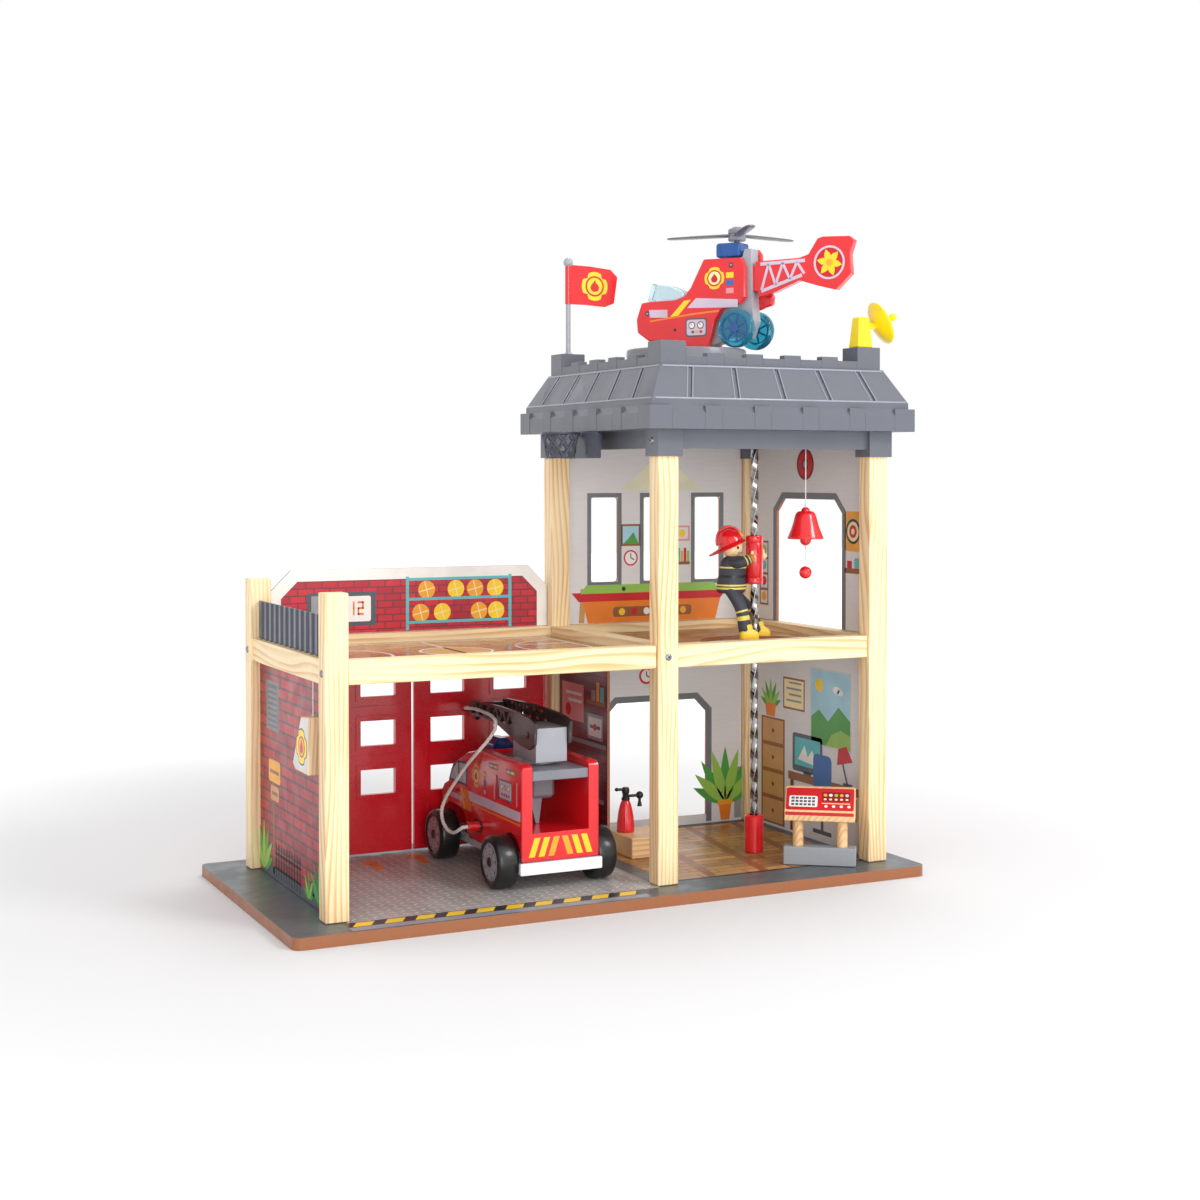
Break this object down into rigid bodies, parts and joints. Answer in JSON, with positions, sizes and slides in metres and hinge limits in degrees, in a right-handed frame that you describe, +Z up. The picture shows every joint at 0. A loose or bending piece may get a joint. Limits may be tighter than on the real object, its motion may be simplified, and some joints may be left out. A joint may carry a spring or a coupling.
{
  "type": "toy fire station",
  "caption": "Two-storey wooden toy fire station: garage, terrace, tower with hipped roof and helipad, fire engine, helicopter, pole with figure, bell and small furniture.",
  "frame": {"origin": "middle of the base board's underside", "axes": "+X towards the tower side, +Y towards the garage doors at the back, +Z up"},
  "size_m": [0.6, 0.3, 0.6063],
  "materials": {
    "base_board": "printed fibreboard with a bare edge",
    "garage_end_frame": "clear-lacquered pine",
    "middle_frame": "clear-lacquered pine",
    "tower_end_frame": "clear-lacquered pine",
    "garage_rail_front": "clear-lacquered pine",
    "garage_rail_back": "clear-lacquered pine",
    "tower_rail_front": "clear-lacquered pine",
    "tower_rail_back": "clear-lacquered pine",
    "terrace_floor": "printed fibreboard",
    "tower_floor": "printed fibreboard",
    "garage_side_wall": "printed fibreboard",
    "divider_wall": "printed fibreboard",
    "back_wall_lower": "printed fibreboard",
    "back_wall_upper": "printed fibreboard",
    "side_wall_lower": "printed fibreboard",
    "side_wall_upper": "printed fibreboard",
    "terrace_panel": "printed fibreboard",
    "terrace_railing": "dark grey moulded plastic",
    "roof": "slate grey moulded plastic",
    "hoop": "dark grey moulded plastic",
    "helipad": "grey plastic with a red rim",
    "slide_pole": "polished twisted bar",
    "pole_cup": "red plastic",
    "dish_stand": "yellow plastic",
    "garage_door_left": "red moulded plastic",
    "garage_door_right": "red moulded plastic",
    "slide_sleeve": "red plastic",
    "firefighter_helmet": "red plastic",
    "firefighter_head": "painted wood",
    "firefighter_body": "dark coat with yellow boots",
    "bell": "red plastic",
    "bell_string": "white string with red balls",
    "tag_block": "pale wood with a printed badge",
    "tag_string": "white string",
    "flag": "red flag on a grey pole",
    "dish": "yellow plastic",
    "desk_top": "lacquered wood with a red printed panel",
    "desk_base": "grey painted wood",
    "extinguisher_block": "lacquered wood",
    "extinguisher_bottle": "red lacquer",
    "extinguisher_valve": "black plastic",
    "truck_body": "red lacquer with printed trim",
    "truck_chassis": "silver grey plastic",
    "truck_deck": "grey plastic",
    "truck_beacon": "blue plastic",
    "front_wheels": "black tyres with grey hubs",
    "rear_wheels": "black tyres with grey hubs",
    "ladder_turntable": "grey plastic",
    "ladder": "dark grey plastic",
    "hose_nozzle": "black plastic",
    "hose_run": "white twisted cord",
    "hose_drop": "white twisted cord",
    "heli_port_shell": "red lacquer with printed trim",
    "heli_starboard_shell": "red lacquer with printed trim",
    "heli_core": "grey plastic",
    "heli_canopy": "clear pale blue plastic",
    "heli_light": "clear blue plastic",
    "heli_tail": "red lacquer with printed trim",
    "heli_rotor": "grey plastic",
    "heli_wheels": "clear blue plastic"
  },
  "bodies": {
    "station": {"base_board": "base_board", "garage_end_frame": "garage_end_frame", "middle_frame": "middle_frame", "tower_end_frame": "tower_end_frame", "garage_rail_front": "garage_rail_front", "garage_rail_back": "garage_rail_back", "tower_rail_front": "tower_rail_front", "tower_rail_back": "tower_rail_back", "terrace_floor": "terrace_floor", "tower_floor": "tower_floor", "garage_side_wall": "garage_side_wall", "divider_wall": "divider_wall", "back_wall_lower": "back_wall_lower", "back_wall_upper": "back_wall_upper", "side_wall_lower": "side_wall_lower", "side_wall_upper": "side_wall_upper", "terrace_panel": "terrace_panel", "terrace_railing": "terrace_railing", "roof": "roof", "hoop": "hoop", "helipad": "helipad", "slide_pole": "slide_pole", "pole_cup": "pole_cup", "dish_stand": "dish_stand"},
    "door_left": {"garage_door_left": "garage_door_left"},
    "door_right": {"garage_door_right": "garage_door_right"},
    "truck": {"truck_body": "truck_body", "truck_chassis": "truck_chassis", "truck_deck": "truck_deck", "truck_beacon": "truck_beacon", "hose_drop": "hose_drop"},
    "truck_front_wheels": {"front_wheels": "front_wheels"},
    "truck_rear_wheels": {"rear_wheels": "rear_wheels"},
    "turntable": {"ladder_turntable": "ladder_turntable"},
    "ladder": {"ladder": "ladder", "hose_nozzle": "hose_nozzle", "hose_run": "hose_run"},
    "helicopter": {"heli_port_shell": "heli_port_shell", "heli_starboard_shell": "heli_starboard_shell", "heli_core": "heli_core", "heli_canopy": "heli_canopy", "heli_light": "heli_light", "heli_tail": "heli_tail"},
    "rotor": {"heli_rotor": "heli_rotor"},
    "helicopter_wheels": {"heli_wheels": "heli_wheels"},
    "sleeve": {"slide_sleeve": "slide_sleeve"},
    "firefighter": {"firefighter_helmet": "firefighter_helmet", "firefighter_head": "firefighter_head", "firefighter_body": "firefighter_body"},
    "bell": {"bell": "bell", "bell_string": "bell_string"},
    "tag": {"tag_block": "tag_block", "tag_string": "tag_string"},
    "flag": {"flag": "flag"},
    "dish": {"dish": "dish"},
    "desk": {"desk_top": "desk_top", "desk_base": "desk_base"},
    "extinguisher_block": {"extinguisher_block": "extinguisher_block"},
    "extinguisher": {"extinguisher_bottle": "extinguisher_bottle", "extinguisher_valve": "extinguisher_valve"}
  },
  "joints": [
    {"name": "door_left_hinge", "type": "hinge", "parent": "station", "child": "door_left", "pos_m": [-0.24155, 0.118, 0.012], "axis": [0, 0, 1], "range_deg": [0, 95]},
    {"name": "door_right_hinge", "type": "hinge", "parent": "station", "child": "door_right", "pos_m": [0.03415, 0.118, 0.012], "axis": [0, 0, -1], "range_deg": [0, 95]},
    {"name": "truck_roll", "type": "slide", "parent": "station", "child": "truck", "axis": [0, -1, 0], "range_m": [0, 0.085]},
    {"name": "front_wheels_spin", "type": "hinge", "parent": "truck", "child": "truck_front_wheels", "pos_m": [-0.0419, 0.0749, 0.0333], "axis": [1, 0, 0], "range_deg": [0, 216]},
    {"name": "rear_wheels_spin", "type": "hinge", "parent": "truck", "child": "truck_rear_wheels", "pos_m": [-0.0419, -0.0609, 0.0333], "axis": [1, 0, 0], "range_deg": [0, 216]},
    {"name": "turntable_swivel", "type": "hinge", "parent": "truck", "child": "turntable", "pos_m": [-0.0419, -0.042, 0.1137], "axis": [0, 0, 1], "range_deg": [-30, 0]},
    {"name": "ladder_tilt", "type": "hinge", "parent": "turntable", "child": "ladder", "pos_m": [-0.0419, -0.057, 0.141], "axis": [1, 0, 0], "range_deg": [0, 20]},
    {"name": "helicopter_lift", "type": "slide", "parent": "station", "child": "helicopter", "axis": [0, 0, 1], "range_m": [0, 0.15]},
    {"name": "rotor_spin", "type": "hinge", "parent": "helicopter", "child": "rotor", "pos_m": [0.17822, -0.01235, 0.5983], "axis": [0, 0, 1], "continuous": true},
    {"name": "helicopter_wheels_spin", "type": "hinge", "parent": "helicopter", "child": "helicopter_wheels", "pos_m": [0.1836, -0.0209, 0.5082], "axis": [-0.8466, -0.5323, 0], "continuous": true},
    {"name": "sleeve_slide", "type": "slide", "parent": "station", "child": "sleeve", "axis": [0, 0, 1], "range_m": [-0.168, 0.07]},
    {"name": "firefighter_spin", "type": "hinge", "parent": "sleeve", "child": "firefighter", "pos_m": [0.188, -0.029, 0.266], "axis": [0, 0, 1], "range_deg": [-800, 335]},
    {"name": "bell_swing", "type": "hinge", "parent": "station", "child": "bell", "pos_m": [0.2032, -0.095, 0.4637], "axis": [0, 1, 0], "range_deg": [-12, 12]},
    {"name": "tag_swing", "type": "hinge", "parent": "station", "child": "tag", "pos_m": [-0.261, -0.076, 0.2005], "axis": [1, 0, 0], "range_deg": [-12, 30]},
    {"name": "flag_turn", "type": "hinge", "parent": "station", "child": "flag", "pos_m": [0.055, 0.1045, 0.4801], "axis": [0, 0, 1], "continuous": true},
    {"name": "dish_tilt", "type": "hinge", "parent": "station", "child": "dish", "pos_m": [0.267, -0.1005, 0.509], "axis": [1, 0, 0], "range_deg": [-40, 40]},
    {"name": "desk_lift", "type": "slide", "parent": "station", "child": "desk", "axis": [0, 0, 1], "range_m": [0, 0.1]},
    {"name": "extinguisher_block_lift", "type": "slide", "parent": "station", "child": "extinguisher_block", "axis": [0, 0, 1], "range_m": [0, 0.04]},
    {"name": "extinguisher_lift", "type": "slide", "parent": "extinguisher_block", "child": "extinguisher", "axis": [0, 0, 1], "range_m": [0, 0.08]}
  ],
  "couplings": [
    {"joint": "front_wheels_spin", "follows": "truck_roll", "rad_per_m": 43.478},
    {"joint": "rear_wheels_spin", "follows": "truck_roll", "rad_per_m": 43.478},
    {"joint": "firefighter_spin", "follows": "sleeve_slide", "rad_per_m": 82.674}
  ]
}
